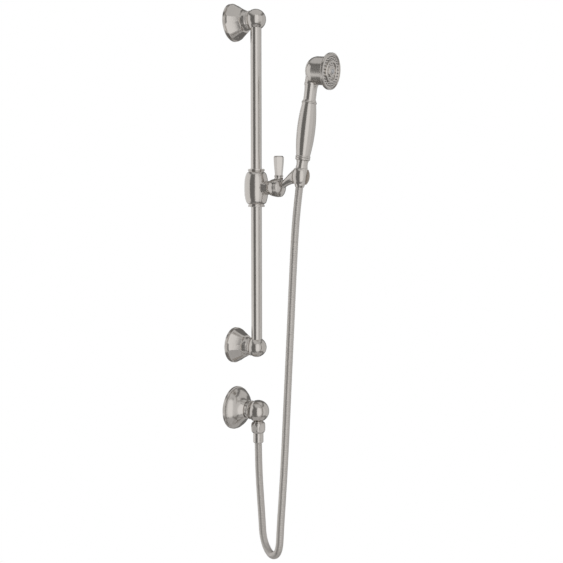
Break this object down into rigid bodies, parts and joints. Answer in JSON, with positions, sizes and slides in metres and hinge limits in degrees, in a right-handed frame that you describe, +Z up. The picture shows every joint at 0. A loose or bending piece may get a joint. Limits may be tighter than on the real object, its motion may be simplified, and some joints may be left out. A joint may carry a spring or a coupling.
{
  "type": "hand shower set",
  "caption": "Wall slide-bar hand shower set: bar on hexagonal brackets, lever-locked slider, swivel holder, lift-out handset, metal hose and wall outlet.",
  "frame": {"origin": "centre of the upper bracket's wall face", "axes": "+Z up along the bar, +Y into the wall, -Y out of the wall towards the user, +X to the right of someone facing the wall"},
  "size_m": [0.0821, 0.2119, 1.0274],
  "materials": {
    "dark_plastic": "moulded acetal",
    "hose_metal": "wound strip hose, brushed nickel tone",
    "nickel_brass": "brushed nickel plate over brass",
    "nickel_steel": "brushed stainless steel in a nickel tone",
    "nylon": "moulded nylon",
    "raw_brass": "machined brass",
    "rubber": "moulded rubber",
    "silicone": "moulded silicone",
    "steel": "plain stainless steel"
  },
  "bodies": {
    "wall_set": {"upper_bell": "nickel_brass", "upper_grub_screw": "steel", "upper_wall_plate": "steel", "upper_ball_end": "nickel_brass", "lower_bell": "nickel_brass", "lower_grub_screw": "steel", "lower_wall_plate": "steel", "lower_ball_end": "nickel_brass", "slide_bar": "nickel_steel", "outlet_flange": "nickel_brass", "outlet_body": "nickel_brass", "check_valve": "dark_plastic", "outlet_nipple": "nickel_brass", "hose_hex_nut": "nickel_brass", "lower_hose_washer": "rubber", "lower_hose_tail": "raw_brass", "hose_ferrule": "nickel_steel", "hose_tube": "hose_metal"},
    "sleeve": {"clamp_sleeve": "nylon"},
    "slider": {"slider_barrel": "nickel_brass", "upper_lip": "nickel_brass", "lower_lip": "nickel_brass", "slider_stem": "nickel_brass", "pressure_pad": "dark_plastic", "pivot_bolt": "steel", "pivot_clip": "steel", "rear_washer": "nylon"},
    "lever": {"lever_hub": "nickel_brass", "lever_collar": "nickel_brass", "lever_handle": "nickel_brass"},
    "holder": {"joint_front": "nickel_brass", "front_washer": "nylon", "holder_arm": "nickel_brass", "cradle": "nickel_brass", "cradle_liner": "dark_plastic"},
    "hose_end": {"upper_hose_tail": "raw_brass", "upper_hose_washer": "rubber"},
    "handset": {"hose_cone_nut": "nickel_brass", "inlet_neck": "nickel_brass", "inlet_filter": "steel", "lower_collar": "nickel_brass", "grip": "nickel_brass", "upper_collar": "nickel_brass", "neck_tube": "nickel_brass", "water_tube": "nylon", "head_shell": "nickel_brass", "head_collar": "nickel_brass", "union_ring": "nickel_brass", "face_flange": "nickel_brass", "face_seal": "rubber", "flow_diffuser": "dark_plastic", "spray_plate": "nickel_brass", "spray_nozzles": "silicone", "inner_trim_ring": "nickel_brass", "centre_boss": "nickel_brass", "face_screw": "steel"}
  },
  "joints": [
    {"name": "slider_travel", "type": "slide", "parent": "wall_set", "child": "sleeve", "axis": [0, 0, 1], "range_m": [-0.24, 0.24], "deforming": ["hose_tube"]},
    {"name": "slider_turn", "type": "hinge", "parent": "sleeve", "child": "slider", "pos_m": [0, -0.0508, -0.303], "axis": [0, 0, 1], "range_deg": [-60, 60], "deforming": ["hose_tube"]},
    {"name": "lever_lock", "type": "hinge", "parent": "slider", "child": "lever", "pos_m": [0, -0.09975, -0.303], "axis": [0, -1, 0], "range_deg": [0, 80]},
    {"name": "holder_tilt", "type": "hinge", "parent": "slider", "child": "holder", "pos_m": [0, -0.1075, -0.303], "axis": [0, -1, 0], "range_deg": [-40, 40], "deforming": ["hose_tube"]},
    {"name": "handset_lift", "type": "slide", "parent": "holder", "child": "hose_end", "axis": [0, -0.1326, 0.9912], "range_m": [0, 0.035], "deforming": ["hose_tube"]},
    {"name": "handset_turn", "type": "hinge", "parent": "hose_end", "child": "handset", "pos_m": [0, -0.1432, -0.303], "axis": [0, -0.1326, 0.9912], "continuous": true}
  ]
}
